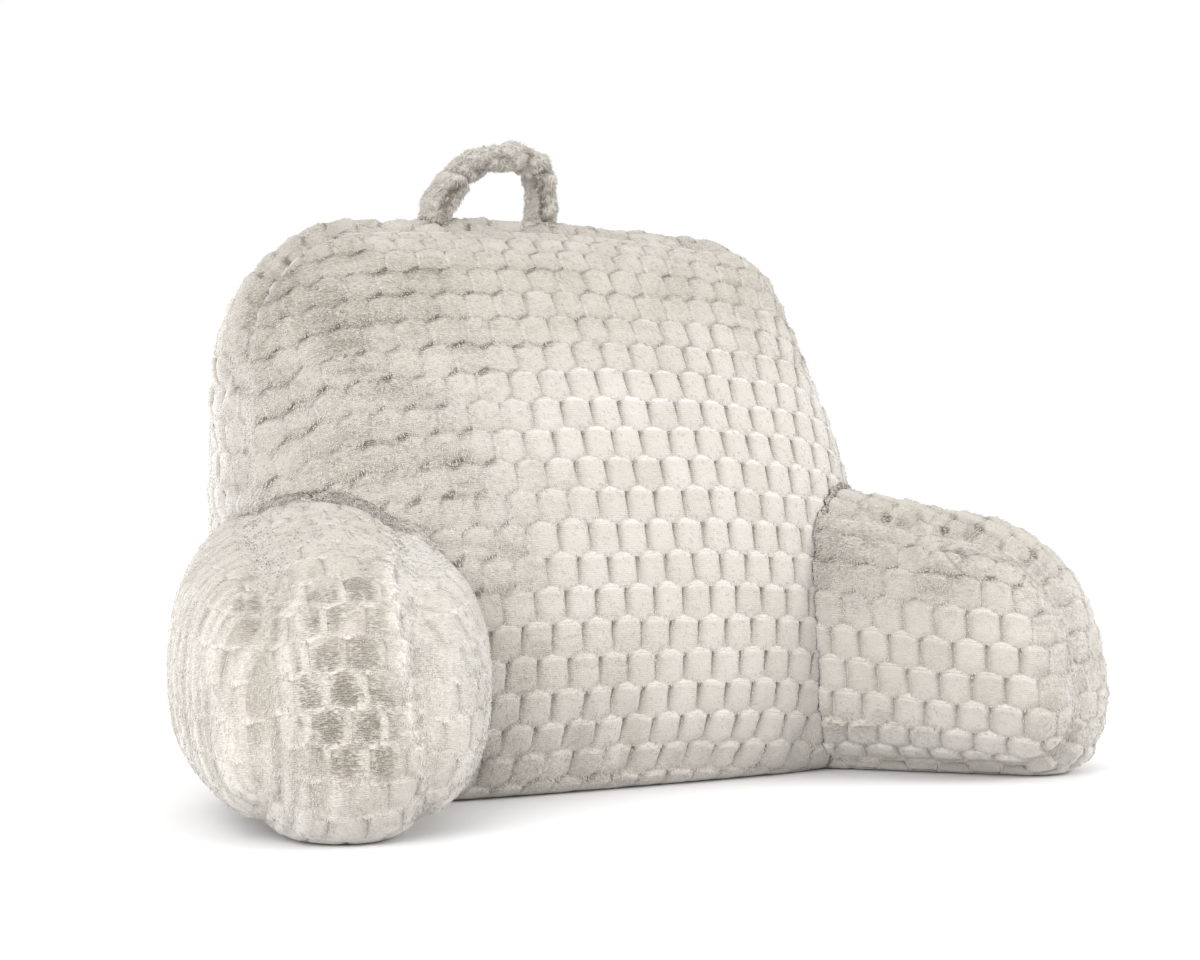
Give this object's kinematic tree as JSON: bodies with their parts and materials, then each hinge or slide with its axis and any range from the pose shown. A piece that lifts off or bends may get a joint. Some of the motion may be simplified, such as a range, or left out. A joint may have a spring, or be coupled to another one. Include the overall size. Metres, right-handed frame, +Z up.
{
  "type": "reading pillow with arms",
  "caption": "Filled backrest pillow with a crowned leaning back, two stuffed arms splayed forward and a carry handle on top, in honeycomb-embossed plush.",
  "frame": {"origin": "on the floor under the middle of the pillow's box", "axes": "+X to the right of someone facing the pillow, +Y to its rear, +Z up"},
  "size_m": [0.8392, 0.4712, 0.5265],
  "materials": {
    "embossed_plush": "short-pile plush in warm off-white, embossed with raised six-sided cells",
    "shaggy_plush": "the same plush with its pile brushed up, a little darker in the gaps"
  },
  "bodies": {
    "root": {"back_cushion": "embossed_plush", "arm_left": "embossed_plush", "arm_right": "embossed_plush", "carry_handle": "shaggy_plush"}
  },
  "joints": []
}
